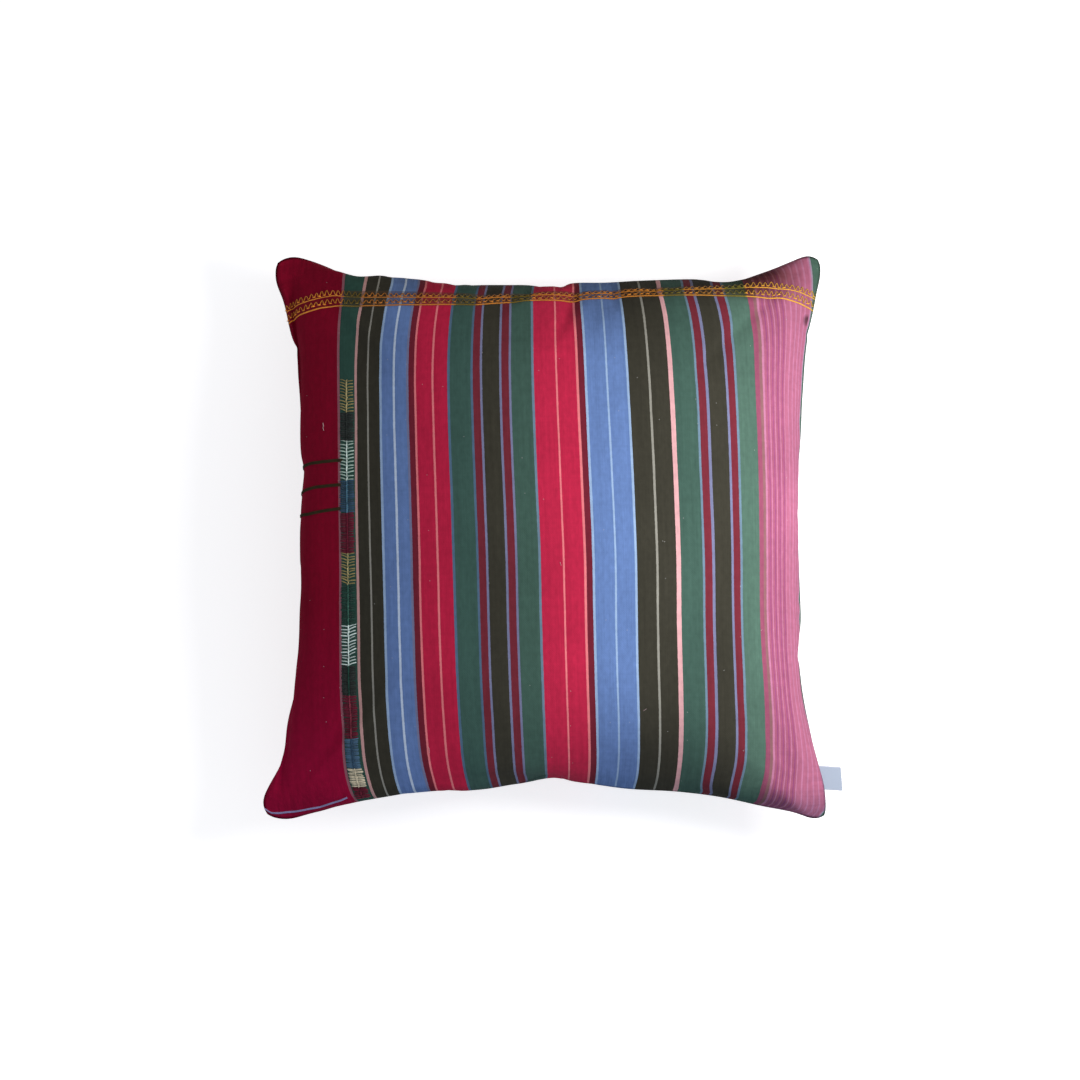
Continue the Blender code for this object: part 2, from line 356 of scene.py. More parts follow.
# Weave. The stripes are dyed warp threads, so they keep straight in the cloth, but the
# panel was cut a little askew and its cloth has drawn out of true. This table says how
# far the weave lies to the right of the cut, in mm, at places up and across the panel.
DRIFT_PLACES = (70, 88, 120, 150, 185, 220, 260, 300, 330, 360, 395, 430, 460, 490)
WEAVE_DRIFT = (
    (0, 86.0, 84.4, 81.3, 79.6, 78.9, 75.6, 72.4, 70.6, 68.5, 68.3, 69.8, 63.9, 61.9, 65.3),
    (5, 86.0, 82.1, 79.7, 78.9, 77.7, 74.9, 72.3, 70.7, 69.1, 68.9, 70.9, 66.2, 66.1, 70.7),
    (10, 85.7, 80.7, 79.0, 78.3, 77.0, 74.2, 72.2, 71.0, 69.7, 69.5, 70.0, 66.7, 68.1, 73.0),
    (15, 81.8, 79.7, 78.2, 77.7, 76.2, 73.8, 72.1, 71.2, 70.3, 69.8, 69.0, 67.0, 68.8, 73.2),
    (25, 78.4, 77.6, 76.7, 76.8, 75.1, 73.0, 71.9, 71.4, 70.9, 70.1, 68.7, 67.6, 69.3, 72.8),
    (45, 74.9, 74.0, 74.3, 74.2, 73.6, 72.2, 71.6, 71.2, 70.9, 70.1, 69.6, 69.7, 71.2, 73.1),
    (75, 73.5, 71.3, 71.8, 71.9, 72.2, 71.5, 70.8, 70.1, 69.6, 69.1, 69.5, 70.1, 70.6, 72.1),
    (105, 71.7, 69.7, 70.2, 70.2, 70.5, 70.2, 69.8, 68.7, 68.1, 67.8, 68.6, 68.9, 68.1, 68.2),
    (165, 71.0, 68.6, 68.0, 67.7, 68.1, 68.1, 67.8, 66.9, 66.4, 66.3, 66.8, 65.8, 64.6, 64.2),
    (225, 70.6, 66.8, 66.3, 65.9, 66.3, 66.5, 66.3, 66.0, 65.7, 65.7, 66.2, 65.7, 64.8, 64.5),
    (285, 68.6, 64.6, 64.1, 63.6, 63.7, 63.9, 63.7, 63.4, 63.4, 63.8, 64.6, 65.5, 66.0, 65.9),
    (345, 66.4, 62.8, 61.4, 60.9, 61.0, 61.3, 61.2, 60.6, 60.8, 61.6, 62.9, 64.0, 65.1, 66.2),
    (385, 64.6, 61.3, 60.2, 59.7, 59.8, 60.0, 59.6, 58.8, 59.0, 59.7, 60.9, 62.2, 64.9, 68.4),
    (415, 63.5, 61.4, 60.6, 60.1, 59.7, 59.4, 58.8, 57.7, 57.6, 57.9, 59.0, 61.5, 65.2, 69.3),
    (440, 63.4, 64.0, 62.9, 61.5, 59.7, 58.8, 58.2, 57.0, 56.6, 56.4, 56.4, 59.6, 64.4, 68.6),
    (455, 65.3, 66.1, 64.5, 62.5, 60.0, 58.4, 57.7, 56.5, 55.9, 55.1, 54.3, 57.4, 63.0, 67.6),
    (470, 66.1, 67.0, 66.3, 63.9, 60.9, 58.9, 57.5, 56.0, 54.9, 53.7, 52.8, 55.8, 61.1, 66.2),
    (485, 65.5, 66.7, 65.1, 63.0, 61.4, 59.7, 57.4, 55.7, 54.9, 54.2, 53.5, 54.8, 58.6, 64.0),
    (500, 65.5, 64.8, 64.0, 62.5, 61.7, 59.9, 57.3, 54.9, 54.2, 54.1, 53.4, 52.1, 56.2, 62.4),
)
# Foot of the embroidered border: places across and up the flat cut, in mm.
BORDER_FOOT = (
    (0, 440.8), (29, 444.8), (46, 448.3), (59, 449.0), (103, 446.6), (134, 446.8),
    (186, 448.5), (218, 454.5), (238, 458.0), (277, 463.6), (301, 464.4), (325, 463.8),
    (395, 458.2), (425, 457.2), (460, 456.3), (474, 454.2), (500, 451.4),
)

drifts = np.stack([smooth_through(WEAVE_DRIFT, 1 + k, cut_along) for k in range(len(DRIFT_PLACES))])
places = np.array(DRIFT_PLACES) * MM
after = np.clip(np.searchsorted(places, cut_across), 1, len(places) - 1)
part = np.clip((cut_across - places[after - 1]) / (places[after] - places[after - 1]), 0, 1)
drift_before = np.take_along_axis(drifts, after[None] - 1, 0)[0]
drift_after = np.take_along_axis(drifts, after[None], 0)[0]
weave_across = cut_across - (drift_before * (1 - part) + drift_after * part)
foot = np.array(BORDER_FOOT) * MM
above_border = cut_along - np.interp(cut_across, foot[:, 0], foot[:, 1])

_, quads = cover_faces(len(front))
plain_mesh = mesh_of("cover_plain", cover_points(front, back).tolist(), quads.tolist())
none = np.zeros_like(across)
for name, over, on_front, on_back in (
    ("cut", cut_across, np.where(rim, 0.0, 1.0), none - 1.0),
    ("weave", weave_across, above_border, none - CUT),
):
    places = (np.stack([over, cut_along, third], -1) for third in (on_front, on_back))
    values = cover_points(*places)
    stored = plain_mesh.attributes.new(name, "FLOAT_VECTOR", "POINT")
    stored.data.foreach_set("vector", values.astype(np.float32).ravel())

on_rim = np.concatenate([rim.ravel(), np.zeros((len(front) - 2) ** 2, dtype=bool)])
ends = np.empty(len(plain_mesh.edges) * 2, dtype=np.int32)
plain_mesh.edges.foreach_get("vertices", ends)
seam_edges = on_rim[ends.reshape(-1, 2)].all(axis=1)
crease = plain_mesh.attributes.new("crease_edge", "FLOAT", "EDGE")
crease.data.foreach_set("value", seam_edges.astype(np.float32))


def finished(piece, name):
    """A new object with the piece's mesh as its modifiers leave it; the piece goes."""
    graph = bpy.context.evaluated_depsgraph_get()
    ended = piece.evaluated_get(graph)
    mesh = bpy.data.meshes.new_from_object(ended, preserve_all_data_layers=True, depsgraph=graph)
    mesh.name = name
    bpy.data.objects.remove(piece, do_unlink=True)
    return added(name, mesh)


# Nicks: small pinches in the seam, and swellings where the depth is below nought.
# Columns: side, place up or across the cut, depth, half width, reach (all mm).
NICKS = (
    ("left", 417, 1.8, 4.0, 7), ("left", 302.5, 2.8, 5.0, 8), ("left", 279.0, 2.4, 5.0, 8),
    ("left", 259.5, 2.4, 5.0, 8), ("left", 282, 3.4, 30.0, 14), ("left", 200, 3.4, 14.0, 10),
    ("left", 236, 2.2, 30.0, 12), ("left", 86, -2.6, 20.0, 12), ("left", 45, 1.2, 4.0, 6),
    ("right", 432, 1.2, 4.0, 6), ("right", 365, -2.4, 40.0, 12), ("right", 141, 2.0, 4.0, 7),
    ("right", 82, -1.8, 26.0, 10), ("right", 440, -1.4, 24.0, 10), ("upper", 112, 2.6, 12.0, 9),
    ("upper", 160, 2.0, 22.0, 9), ("upper", 262, 3.2, 4.5, 8), ("upper", 300, 2.0, 26.0, 9),
    ("upper", 419, -2.0, 9.0, 8), ("lower", 258, 2.0, 4.0, 7), ("lower", 62, 0.8, 10.0, 8),
)


def pinch_in(spots, cut_at):
    """Moves points near the seam in from their side, by the table of nicks."""
    u, v = cut_at[:, 0], cut_at[:, 1]
    sides = {
        "left": (u, v, 0, 1), "right": (CUT - u, v, 0, -1),
        "lower": (v, u, 1, 1), "upper": (CUT - v, u, 1, -1),
    }
    for side, place, depth, half_width, reach in NICKS:
        distance, beside, axis, inward = sides[side]
        off = ((beside - place * MM) / (half_width * MM)) ** 2 + distance / (reach * MM)
        spots[:, axis] += inward * depth * MM * np.exp(-off)


plain_cover = added("cover_plain", plain_mesh)
rounding = plain_cover.modifiers.new("rounding", "SUBSURF")
rounding.levels = rounding.render_levels = 1
cover = finished(plain_cover, "filled_cover")
cover.data.shade_smooth()
spots = vectors_of(cover.data, "position")
spots[:, 2] = np.maximum(spots[:, 2], 0.0)
pinch_in(spots, vectors_of(cover.data, "cut"))
move_to(cover.data, spots)
corner_of = np.empty(len(cover.data.loops), dtype=np.int32)
cover.data.loops.foreach_get("vertex_index", corner_of)
weave_map = cover.data.uv_layers.new(name="weave_map")
woven_at = vectors_of(cover.data, "weave")[corner_of, :2]
weave_map.uv.foreach_set("vector", woven_at.astype(np.float32).ravel())
cover.data.update()


def colour_of(red, green, blue):
    """A shade picked as eight-bit screen values, as the linear light Blender works in."""
    shades = np.array([red, green, blue]) / 255
    linear = np.where(shades <= 0.04045, shades / 12.92, ((shades + 0.055) / 1.055) ** 2.4)
    return (*(float(x) for x in linear), 1.0)


# Dyes of the warp, and the stripes from left to right with their widths in mm. The
# first stripe is the end of the plain red strip, and the pink one beside it is its seam.
DYES = {
    "red": (139, 7, 40), "seam pink": (160, 100, 112), "bottle": (52, 84, 74),
    "rose line": (210, 162, 158), "brown": (58, 56, 47), "grey": (150, 148, 139),
    "pale blue": (154, 180, 214), "frost blue": (196, 212, 234), "blue": (101, 129, 182),
    "lavender": (121, 124, 157), "oxblood": (116, 35, 51), "salmon": (234, 127, 133),
    "crimson": (194, 39, 73), "crimson deep": (189, 33, 68), "green": (65, 93, 83),
    "green pale": (80, 109, 96), "green deep": (62, 92, 84), "maroon": (116, 42, 54),
    "steel": (108, 132, 152), "beige": (150, 148, 138), "dim teal": (84, 110, 136),
    "pink": (218, 165, 168), "magenta": (152, 79, 105), "olive rose": (142, 98, 102),
    "light pink": (188, 120, 152), "rose": (165, 91, 118), "violet rose": (150, 78, 122),
    "mid rose": (179, 104, 132), "milk": (168, 146, 168),
}
STRIPES = (
    ("red", 4.0), ("seam pink", 2.2), ("bottle", 16.5), ("rose line", 2.6), ("brown", 10.1),
    ("grey", 1.8), ("brown", 10.3), ("pale blue", 2.0), ("blue", 10.8), ("frost blue", 1.8),
    ("blue", 10.4), ("lavender", 1.9), ("oxblood", 5.2), ("salmon", 1.8), ("crimson deep", 13.9),
    ("salmon", 1.9), ("crimson deep", 11.7), ("dim teal", 2.2), ("green deep", 17.8),
    ("dim teal", 2.1),
    ("maroon", 5.9), ("lavender", 2.1), ("brown", 14.3), ("lavender", 1.9), ("maroon", 6.4),
    ("lavender", 2.0), ("green", 17.6), ("steel", 2.0), ("crimson", 18.4), ("salmon", 1.8),
    ("crimson", 16.2), ("salmon", 2.0), ("oxblood", 5.3), ("pale blue", 2.0), ("blue", 16.6),
    ("pale blue", 1.8), ("blue", 15.6), ("pale blue", 2.0), ("brown", 16.5), ("beige", 1.8),
    ("brown", 15.5), ("pink", 3.8), ("green", 18.6), ("steel", 2.1), ("maroon", 6.5),
    ("lavender", 2.3), ("brown", 15.4), ("lavender", 2.0), ("maroon", 6.2), ("steel", 2.0),
    ("green pale", 16.8), ("magenta", 4.0), ("olive rose", 2.8), ("light pink", 2.0),
)
FINE_STRIPES = (
    ("rose", 2.1), ("violet rose", 1.0), ("rose", 1.2), ("light pink", 1.0),
) * 4 + (("mid rose", 3.9), ("light pink", 1.4)) * 5
STRIPES = STRIPES + FINE_STRIPES + (("milk", 1.6), ("green pale", 6.0))
STRIPE_EDGES = np.concatenate([[0.0], np.cumsum([width for _, width in STRIPES])])
STRIPE_EDGES = (STRIPE_EDGES - STRIPES[0][1]) * MM
RAMP_STOPS = 9


def give(tree, socket, value):
    """Gives an input its value, or links it to another node's output."""
    if isinstance(value, bpy.types.NodeSocket):
        tree.links.new(value, socket)
    elif value is not None:
        socket.default_value = value


def put(tree, kind, *inputs, **named):
    """Adds a node. Names in lower case are its settings. Its inputs are values or sockets,
    given in order or by their names."""
    node = tree.nodes.new(kind)
    for name, value in named.items():
        if name.islower():
            setattr(node, name, value)
    for socket, value in zip(node.inputs, inputs):
        give(tree, socket, value)
    for name, value in named.items():
        if not name.islower():
            give(tree, node.inputs[name.replace("_", " ")], value)
    return node


def sum_of(tree, operation, *inputs):
    return put(tree, "ShaderNodeMath", *inputs, operation=operation).outputs[0]


def times(tree, product, *others):
    """The product of several values."""
    for other in others:
        product = sum_of(tree, "MULTIPLY", product, other)
    return product


def ramped(tree, value, start, end, low, high):
    """A value between start and end moved to the range from low to high, and held there."""
    return put(tree, "ShaderNodeMapRange", value, start, end, low, high).outputs[0]


def spread(tree, value, low, high):
    return ramped(tree, value, 0.0, 1.0, low, high)


def stretched_noise(tree, place, across, along, detail=2.0):
    """Noise over the cloth, with so many grains a metre across and along it."""
    grained = put(tree, "ShaderNodeVectorMath", place, (across, along, 1.0), operation="MULTIPLY")
    noise = put(
        tree, "ShaderNodeTexNoise", grained.outputs[0], None, 1.0, detail, noise_dimensions="2D"
    )
    return noise.outputs[0]


def blended(tree, share, first, second, blend="MIX"):
    """Two colours mixed by a share from 0 to 1."""
    node = put(tree, "ShaderNodeMix", data_type="RGBA", blend_type=blend)
    for k, value in ((0, share), (6, first), (7, second)):
        give(tree, node.inputs[k], value)
    return node.outputs[2]


def shaded(tree, colour, level):
    """A colour made lighter or darker by a level that varies round 1."""
    return put(tree, "ShaderNodeVectorMath", colour, Scale=level, operation="SCALE").outputs[0]


def raised(tree, relief, strength, depth, under=None):
    """The way the surface faces where a relief stands out of it, and over another one."""
    return put(tree, "ShaderNodeBump", strength, depth, Height=relief, Normal=under).outputs[0]


def new_group(name, outputs):
    """A shader group with a place as its first input, and plain values as its outputs."""
    group = bpy.data.node_groups.new(name, "ShaderNodeTree")
    group.interface.new_socket("Place", in_out="INPUT", socket_type="NodeSocketVector")
    for label in outputs:
        group.interface.new_socket(label, in_out="OUTPUT", socket_type="NodeSocketFloat")
    return group


def woven_group():
    """Plain weave: the relief of its threads, and how their shade varies thread by thread."""
    group = new_group("plain weave", ("Relief", "Shade"))
    group.interface.new_socket("Threads a metre", in_out="INPUT", socket_type="NodeSocketFloat")
    place, threads, _ = group.nodes.new("NodeGroupInput").outputs
    turns = times(group, threads, math.pi)
    sides = put(group, "ShaderNodeSeparateXYZ", shaded(group, place, turns))
    warp = sum_of(group, "SINE", sides.outputs[0])
    weft = sum_of(group, "SINE", sides.outputs[1])
    rows = times(group, sum_of(group, "ABSOLUTE", warp), 0.6)
    relief = sum_of(group, "MULTIPLY_ADD", times(group, warp, weft), 0.4, rows)
    fine = spread(group, stretched_noise(group, place, 1100.0, 14.0), 0.9, 1.1)
    broad = spread(group, stretched_noise(group, place, 240.0, 4.0), -0.1, 0.1)
    bars = spread(group, stretched_noise(group, place, 9.0, 620.0), -0.04, 0.04)
    shade = sum_of(group, "ADD", sum_of(group, "ADD", fine, broad), bars)
    put(group, "NodeGroupOutput", relief, shade)
    return group


def dyed_stripes(tree, place_across):
    """The dye at each place across the weave, from the table of stripes."""
    for first in range(0, len(STRIPES), RAMP_STOPS):
        last = min(first + RAMP_STOPS, len(STRIPES))
        low, high = STRIPE_EDGES[first], STRIPE_EDGES[last]
        share = ramped(tree, place_across, low, high, 0.0, 1.0)
        ramp = put(tree, "ShaderNodeValToRGB", share)
        ramp.color_ramp.interpolation = "CONSTANT"
        stops = ramp.color_ramp.elements
        stops.remove(stops[1])
        for k in range(first, last):
            position = float((STRIPE_EDGES[k] - low) / (high - low))
            stop = stops[0] if k == first else stops.new(position)
            stop.position = position
            stop.color = colour_of(*DYES[STRIPES[k][0]])
        if first == 0:
            colour = ramp.outputs[0]
        else:
            past = sum_of(tree, "GREATER_THAN", place_across, float(low))
            colour = blended(tree, past, colour, ramp.outputs[0])
    return colour


PLAIN_WEAVE = woven_group()
COVER_THREADS = 1300.0
LINE_WANDER = 0.7 * MM
EDGE_FUZZ = 0.5 * MM
BORDER_GROUND = (-1.0 * MM, 16.0 * MM)
# The cloth between the border's rows is made darker and browner.
BORDER_DARKENING = (0.11, 0.06, 0.03, 1.0)
PINKS_FROM = 378 * MM
SPECK_CELLS = 60.0
SPECK_SIZE = 0.022
SPECKS_KEPT = 0.12
SPECK_SHADE = (0.5, 0.5, 0.48, 1.0)
SEAM_SHADOW = (2.5 * MM, 0.55)
# Painted shade, with some dirt, over the cloth above the border and beside the right-hand ear's
# fold.
UPPER_SHADE_AND_DIRT = (0.42, 0.38, 0.3, 1.0)
# Painted shade along the foot, most at the right.
LOWER_PAINTED_SHADE = (0.5, 0.62, 0.66, 1.0)
FOLD_AT = 436 * MM
MARK_AT = (493 * MM, 441 * MM, 1.0)
MARK_SHADE = (0.16, 0.2, 0.16, 1.0)
# Painted light: the red strip brighter and bluer towards its lower end.
STRIP_PAINTED_LIGHT = (1.35, 1.5, 1.9, 1.0)


def new_material(name, roughness, sheen):
    """A cloth-like material: its tree and its shader."""
    material = bpy.data.materials.new(name)
    material.use_nodes = True
    shader = material.node_tree.nodes["Principled BSDF"]
    shader.inputs["Roughness"].default_value = roughness
    shader.inputs["Specular IOR Level"].default_value = 0.1
    shader.inputs["Sheen Weight"].default_value = sheen
    shader.inputs["Sheen Roughness"].default_value = 0.5
    return material, material.node_tree, shader


def mapped_weave(tree, name, threads):
    """Places in a cloth's own map, and the relief and the shade of the weave there."""
    mapped = put(tree, "ShaderNodeUVMap", uv_map=name).outputs[0]
    weave = put(tree, "ShaderNodeGroup", mapped, threads, node_tree=PLAIN_WEAVE)
    return mapped, *weave.outputs


def from_edge(tree, place, width):
    """How far a place lies in from the nearer edge of a cloth this wide."""
    from_middle = sum_of(tree, "ABSOLUTE", sum_of(tree, "SUBTRACT", place, width / 2))
    return sum_of(tree, "SUBTRACT", width / 2, from_middle)


def under_border(tree, colour, across_weave, height):
    """The cloth between the border's rows, made darker and browner, less on the red strip
    and in the pinks."""
    over_foot = sum_of(tree, "GREATER_THAN", height, BORDER_GROUND[0])
    under_top = sum_of(tree, "LESS_THAN", height, BORDER_GROUND[1])
    darkening = ramped(tree, across_weave, 0.0, 6 * MM, 0.12, 0.5)
    in_pinks = sum_of(tree, "GREATER_THAN", across_weave, PINKS_FROM)
    darkening = sum_of(tree, "SUBTRACT", darkening, times(tree, in_pinks, 0.3))
    return blended(tree, times(tree, over_foot, under_top, darkening), colour, BORDER_DARKENING)


def specked(tree, colour, mapped):
    """A few pale specks of lint."""
    cells = put(
        tree, "ShaderNodeTexVoronoi", mapped, None, SPECK_CELLS, voronoi_dimensions="2D"
    ).outputs
    near = sum_of(tree, "LESS_THAN", cells["Distance"], SPECK_SIZE)
    draw = put(tree, "ShaderNodeSeparateXYZ", cells["Color"]).outputs[0]
    speck = times(tree, near, sum_of(tree, "LESS_THAN", draw, SPECKS_KEPT), 0.5)
    return blended(tree, speck, colour, SPECK_SHADE)


def painted_shade_dirt_and_mark(tree, colour, mapped, cut, height, in_strip):
    """Painted shade, with some dirt, above the border; painted shadow beside the right-hand ear's
    fold; a dark mark by the seam; painted shade at the foot; painted light on the red strip's lower
    end."""
    across_cut, up_cut, _ = put(tree, "ShaderNodeSeparateXYZ", cut).outputs
    patchiness = spread(tree, stretched_noise(tree, mapped, 40.0, 70.0, 3.0), 0.6, 1.4)
    # Painted shade, with some dirt, above the border, most towards the right.
    above_line = ramped(tree, height, 4 * MM, 18 * MM, 0.0, 0.9)
    far_across = ramped(tree, across_cut, 370 * MM, 430 * MM, 0.45, 1.0)
    near_strip = ramped(tree, across_cut, 60 * MM, 130 * MM, 0.35, 0.0)
    near_tip = ramped(tree, across_cut, 462 * MM, 490 * MM, 0.0, 0.75)
    shade_and_dirt_across = sum_of(tree, "SUBTRACT", sum_of(tree, "SUBTRACT", far_across, near_strip), near_tip)
    # Painted shadow beside the right-hand ear's fold.
    from_fold = sum_of(tree, "ABSOLUTE", sum_of(tree, "SUBTRACT", across_cut, FOLD_AT))
    fold_shadow = ramped(tree, from_fold, 12 * MM, 34 * MM, 0.9, 0.0)
    over_line = ramped(tree, height, -6 * MM, 6 * MM, 0.0, 1.0)
    from_mark = put(tree, "ShaderNodeVectorMath", cut, MARK_AT, operation="DISTANCE")
    marked = ramped(tree, from_mark.outputs["Value"], 2.5 * MM, 6.5 * MM, 0.9, 0.0)
    # Painted shade along the foot.
    near_foot = ramped(tree, up_cut, 8 * MM, 26 * MM, 0.8, 0.0)
    # Painted light on the red strip, towards its lower end.
    low_down = ramped(tree, up_cut, 40 * MM, 190 * MM, 1.0, 0.0)
    for share, shade in (
        (times(tree, above_line, shade_and_dirt_across, patchiness), UPPER_SHADE_AND_DIRT),
        (times(tree, fold_shadow, over_line, patchiness), UPPER_SHADE_AND_DIRT),
        (times(tree, marked, patchiness), MARK_SHADE),
        (times(tree, near_foot, far_across, patchiness), LOWER_PAINTED_SHADE),
        (times(tree, in_strip, low_down), STRIP_PAINTED_LIGHT),
    ):
        colour = blended(tree, share, colour, shade, "MULTIPLY")
    return colour


def striped_cotton():
    """Hand-woven striped cotton: dyed warp stripes, thread relief, fading and lint."""
    material, tree, shader = new_material("striped_cotton", 0.92, 0.0)
    mapped, relief, shade = mapped_weave(tree, "weave_map", COVER_THREADS)
    across_weave = put(tree, "ShaderNodeSeparateXYZ", mapped).outputs[0]
    wander = stretched_noise(tree, mapped, 60.0, 14.0)
    fuzz = stretched_noise(tree, mapped, 900.0, 900.0)
    moved = sum_of(tree, "MULTIPLY_ADD", wander, LINE_WANDER, across_weave)
    moved = sum_of(tree, "MULTIPLY_ADD", fuzz, EDGE_FUZZ, moved)
    moved = sum_of(tree, "SUBTRACT", moved, (LINE_WANDER + EDGE_FUZZ) / 2)
    clouds = spread(tree, stretched_noise(tree, mapped, 16.0, 12.0, 4.0), 0.86, 1.14)
    mottle = spread(tree, stretched_noise(tree, mapped, 260.0, 150.0, 3.0), 0.84, 1.16)
    colour = dyed_stripes(tree, moved)
    for level in (shade, clouds, mottle):
        colour = shaded(tree, colour, level)

    above = put(tree, "ShaderNodeAttribute", attribute_name="weave").outputs["Vector"]
    height = put(tree, "ShaderNodeSeparateXYZ", above).outputs[2]
    colour = under_border(tree, colour, across_weave, height)
    colour = specked(tree, colour, mapped)
    cut = put(tree, "ShaderNodeAttribute", attribute_name="cut").outputs["Vector"]
    across_cut, up_cut, _ = put(tree, "ShaderNodeSeparateXYZ", cut).outputs
    to_side, to_end = from_edge(tree, across_cut, CUT), from_edge(tree, up_cut, CUT)
    to_seam = sum_of(tree, "MINIMUM", to_side, to_end)
    colour = shaded(tree, colour, ramped(tree, to_seam, 0.0, *SEAM_SHADOW, 1.0))
    in_strip = sum_of(tree, "LESS_THAN", moved, 0.0)
    # The base colour takes painted shade, painted light and a dark mark here.
    give(tree, shader.inputs["Base Color"], painted_shade_dirt_and_mark(tree, colour, mapped, cut, height, in_strip))

    beside_side = ramped(tree, to_side, 0.0, 26 * MM, 1.0, 0.0)
    beside_end = ramped(tree, to_end, 0.0, 30 * MM, 1.0, 0.0)
    side_folds = times(tree, stretched_noise(tree, cut, 12.0, 120.0), beside_side)
    end_folds = times(tree, stretched_noise(tree, cut, 120.0, 12.0), beside_end)
    rumple = stretched_noise(tree, cut, 22.0, 26.0, 3.0)
    folds = sum_of(tree, "ADD", side_folds, end_folds)
    rumpled = raised(tree, sum_of(tree, "MULTIPLY_ADD", rumple, 0.6, folds), 0.7, 3.4 * MM)
    give(tree, shader.inputs["Normal"], raised(tree, relief, 0.5, 0.22 * MM, rumpled))
    give(tree, shader.inputs["Roughness"], spread(tree, shade, 1.0, 0.88))
    return material


cover.data.materials.clear()
cover.data.materials.append(striped_cotton())
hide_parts("cushion")
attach(cover, "root")


# Fishbone stitches. A column of hand embroidery over the green stripe beside the red
# strip, in blocks of cotton thread: open ladders, packed satin and small knots. Each
# stitch runs from one side of the stripe to its spine and is pulled flat on the cloth.
COVER_STEPS = 2 * PANEL_CELLS
SPINE_AT = 9.6
# Columns: foot and top of the block up the cut, pitch, reach to the left and to the
# right, rise of the left and the right ends, thread (all mm), thread's and spine's shade.
# Where a block's spine shade is paler than its strokes, it is a painted highlight where their inner
# ends cross.
STITCH_BLOCKS = (
    (349.4, 377.5, 2.5, 6.3, 6.2, 2.3, 0.5, 1.0, "straw", "straw highlight"),
    (323.6, 348.8, 1.1, 6.0, 6.4, 0.7, 0.3, 1.2, "ink", "ink"),
    (289.0, 323.2, 2.9, 6.5, 6.4, 1.7, 0.6, 1.05, "mint", "mint white"),
    (260.9, 288.4, 1.7, 6.4, 6.5, 0.8, 0.4, 1.35, "petrol", "petrol highlight"),
    (225.8, 260.5, 1.15, 6.2, 6.0, 0.6, 0.6, 1.25, "claret", "claret"),
    (199.4, 225.4, 2.4, 6.3, 6.4, 2.0, 1.0, 1.0, "straw", "straw highlight"),
    (164.5, 199.0, 1.5, 6.3, 6.5, 0.7, 0.5, 1.35, "pine", "pine highlight"),
    (130.5, 164.1, 2.6, 6.5, 6.7, 0.5, 2.3, 1.0, "mint white", "mint white"),
    (105.0, 130.1, 1.15, 6.3, 6.4, 0.5, 0.5, 1.25, "ink", "pine"),
    (67.5, 104.6, 1.2, 6.2, 6.0, 0.5, 0.5, 1.25, "claret", "claret highlight"),
    (41.1, 67.1, 1.2, 6.0, 6.0, 0.4, 0.5, 1.25, "slate petrol", "petrol"),
    (24.0, 40.7, 1.5, 6.0, 6.6, 0.3, 0.3, 1.2, "cream", "cream"),
    (12.0, 23.6, 1.2, 6.0, 6.6, 0.3, 0.3, 1.2, "claret", "claret"),
)
# The highlight shades, and mint white on the mint block's spine, are painted highlight.
THREADS = {
    "straw": (156, 141, 90), "straw highlight": (176, 163, 117), "ink": (44, 50, 47),
    "mint": (188, 212, 198), "mint white": (222, 238, 232), "slate petrol": (76, 108, 134),
    "petrol": (50, 80, 104), "petrol highlight": (74, 112, 132), "claret": (106, 24, 46),
    "claret highlight": (140, 56, 72), "pine": (32, 70, 58), "pine highlight": (62, 104, 90),
    "cream": (215, 204, 177),
}
STITCH_LIFT = 0.55 * MM
STITCH_SINK = -0.35 * MM
TONES = (0.72, 1.22)


def front_grid(mesh):
    """The finished front panel as points in even steps across and up its flat cut."""
    cut_at, points = vectors_of(mesh, "cut"), vectors_of(mesh, "position")
    on_front = cut_at[:, 2] > -0.25
    cell = np.clip(np.rint(cut_at[on_front, :2] / CUT * COVER_STEPS).astype(int), 0, COVER_STEPS)
    grid = np.zeros((COVER_STEPS + 1, COVER_STEPS + 1, 3))
    grid[cell[:, 0], cell[:, 1]] = points[on_front]
    return grid


COVER_GRID = front_grid(cover.data)
GRID_OUTWARD = np.cross(np.gradient(COVER_GRID, axis=0), np.gradient(COVER_GRID, axis=1))
GRID_OUTWARD /= np.linalg.norm(GRID_OUTWARD, axis=-1, keepdims=True)


def on_cover(flat):
    """Points on the filled cover for rows of: across the cut, up the cut, height above."""
    place = np.clip(flat[:, :2] / CUT * COVER_STEPS, 0, COVER_STEPS - 1e-6)
    cell = place.astype(int)
    part = place - cell
    i, j = cell[:, 0], cell[:, 1]
    p, q = part[:, :1], part[:, 1:]

    def between(grid):
        near = grid[i, j] * (1 - p) + grid[i + 1, j] * p
        far = grid[i, j + 1] * (1 - p) + grid[i + 1, j + 1] * p
        return near * (1 - q) + far * q

    outward = between(GRID_OUTWARD)
    outward /= np.linalg.norm(outward, axis=1, keepdims=True)
    return between(COVER_GRID) + outward * flat[:, 2:]


def lay_on_cover(piece):
    """Moves a piece worked in the plane of the flat cut onto the filled cover."""
    move_to(piece.data, on_cover(vectors_of(piece.data, "position")))


def across_cut(stripe_place, up):
    """How far across the cut a warp thread lies, this far up the panel."""
    row = int(round(up / CUT * PANEL_CELLS))
    return float(np.interp(stripe_place, weave_across[:, row], cut_across[:, row]))


def worked(name, path, tree, **given):
    """The mesh that a node tree makes along a path, with the tree's inputs set by name."""
    links = [(k, k + 1) for k in range(len(path) - 1)]
    piece = added(name + "_path", mesh_of(name + "_path", path, [], links))
    working = piece.modifiers.new("working", "NODES")
    working.node_group = tree
    for socket in tree.interface.items_tree:
        if socket.name in given:
            working[socket.identifier] = given[socket.name]
    return finished(piece, name)


